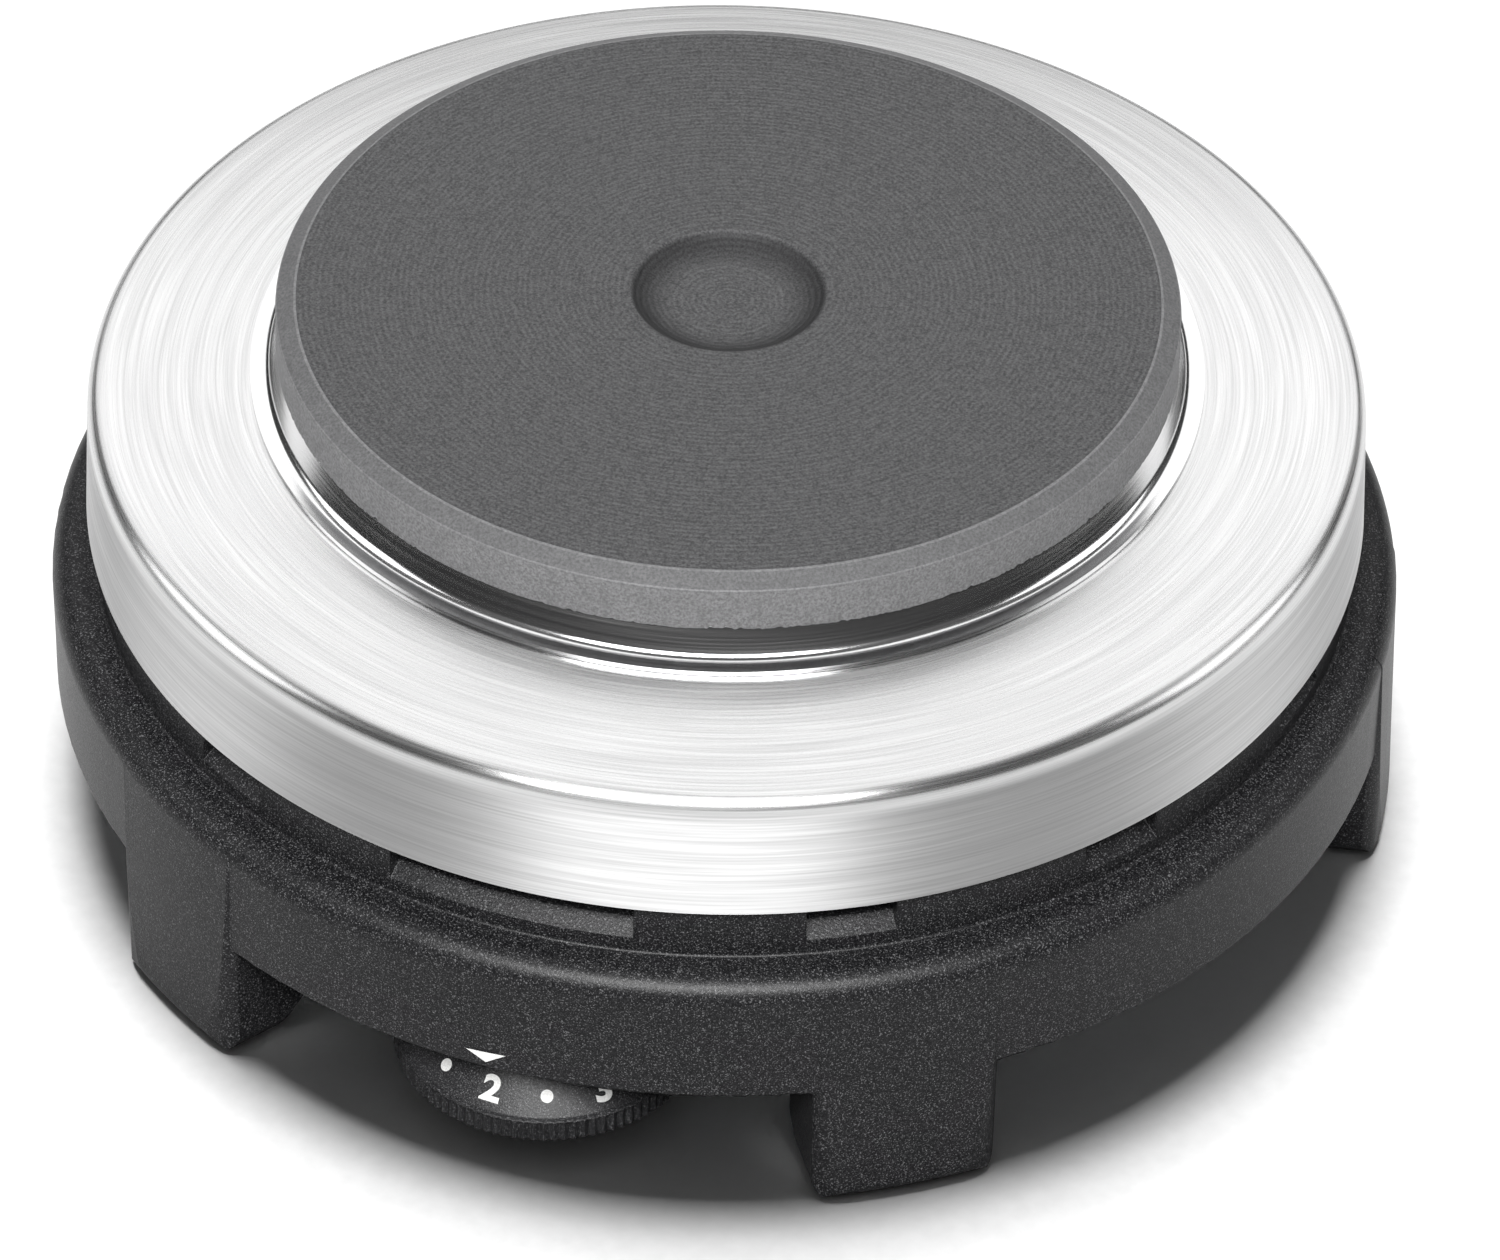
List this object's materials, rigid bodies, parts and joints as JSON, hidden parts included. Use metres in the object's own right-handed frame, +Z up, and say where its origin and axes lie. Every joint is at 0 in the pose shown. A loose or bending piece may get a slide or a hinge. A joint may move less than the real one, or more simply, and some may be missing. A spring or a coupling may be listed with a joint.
{
  "type": "hot plate burner",
  "caption": "Small round electric hot plate: cast-iron plate on a brushed steel cover and a black vented base with legs, with a thermostat dial under the front edge.",
  "frame": {"origin": "centre of the plate's axis on the surface that the legs stand on", "axes": "+Z up, -Y towards the front where the dial is, +X to the right as seen from the front"},
  "size_m": [0.1232, 0.1234, 0.0525],
  "materials": {
    "cast_iron": "turned top, sand-cast sides",
    "heating_tube": "oxidised resistance alloy",
    "cement": "fired matt cement",
    "zinc_sheet": "zinc-plated sheet",
    "steatite": "unglazed steatite",
    "nickel_pin": "nickel-plated",
    "zinc_steel": "zinc-plated steel",
    "bright_aluminium": "bright rolled sheet",
    "polished_stainless": "polished stainless steel",
    "brushed_stainless": "circular brushed stainless steel",
    "black_thermoset": "fine textured black thermoset moulding",
    "gland_rubber": "matt black rubber",
    "dial_black": "semi-gloss black moulding",
    "brass": "turned brass",
    "spring_steel": "hardened spring steel",
    "spring_bronze": "rolled spring bronze",
    "silver_contact": "silver rivet",
    "bimetal": "rolled bimetal",
    "cutout_black": "phenolic body",
    "lead_brown": "brown silicone insulation",
    "lead_black": "black silicone insulation",
    "lead_blue": "blue silicone insulation",
    "lead_green": "green and yellow silicone insulation"
  },
  "bodies": {
    "casing": {"hotplate": "cast_iron", "heating_coils": "heating_tube", "coil_cement": "cement", "plate_cover_sheet": "zinc_sheet", "plate_terminal_block": "steatite", "plate_terminal_pins": "nickel_pin", "centre_stud": "zinc_steel", "shield_nuts": "zinc_steel", "clamp_nut": "zinc_steel", "clamp_washer": "zinc_steel", "heat_shield": "bright_aluminium", "clamp_bar": "zinc_sheet", "trim_ring": "polished_stainless", "top_cover": "brushed_stainless", "base_housing": "black_thermoset", "base_plate": "zinc_sheet", "base_plate_screws": "zinc_steel", "cord_gland": "gland_rubber", "spindle_bush": "brass", "wave_washer": "spring_steel", "thermostat_frame": "zinc_sheet", "thermostat_frame_screw": "zinc_steel", "thermostat_stack": "steatite", "stack_screw": "zinc_steel", "moving_blade_root": "spring_bronze", "fixed_contact_blade": "spring_bronze", "fixed_contact": "silver_contact", "bimetal_strip": "bimetal", "mains_terminal_block": "steatite", "terminal_screws": "brass", "terminal_block_screw": "zinc_steel", "thermal_cutout": "cutout_black", "cutout_tabs": "brass", "earth_tab": "brass", "earth_screw": "zinc_steel", "live_lead": "lead_brown", "switched_lead": "lead_black", "cutout_lead": "lead_black", "neutral_lead": "lead_blue", "earth_lead": "lead_green"},
    "dial": {"control_dial": "dial_black", "adjusting_spindle": "zinc_steel", "dial_screw": "zinc_steel"},
    "pin": {"push_pin": "steatite"},
    "blade": {"moving_contact_blade": "spring_bronze", "moving_contact": "silver_contact"}
  },
  "joints": [
    {"name": "dial_turn", "type": "hinge", "parent": "casing", "child": "dial", "pos_m": [0, -0.0468, 0.004], "axis": [0, 0, 1], "range_deg": [-44, 100]},
    {"name": "pin_lift", "type": "slide", "parent": "casing", "child": "pin", "axis": [0, 0, 1], "range_m": [-0.0002267, 0.0000997]},
    {"name": "blade_lift", "type": "hinge", "parent": "casing", "child": "blade", "pos_m": [0, -0.035, 0.02615], "axis": [-1, 0, 0], "range_deg": [-1.1, 0.48]}
  ],
  "couplings": [
    {"joint": "pin_lift", "follows": "dial_turn", "m_per_rad": -0.00012732},
    {"joint": "blade_lift", "follows": "dial_turn", "ratio": -0.01079}
  ]
}
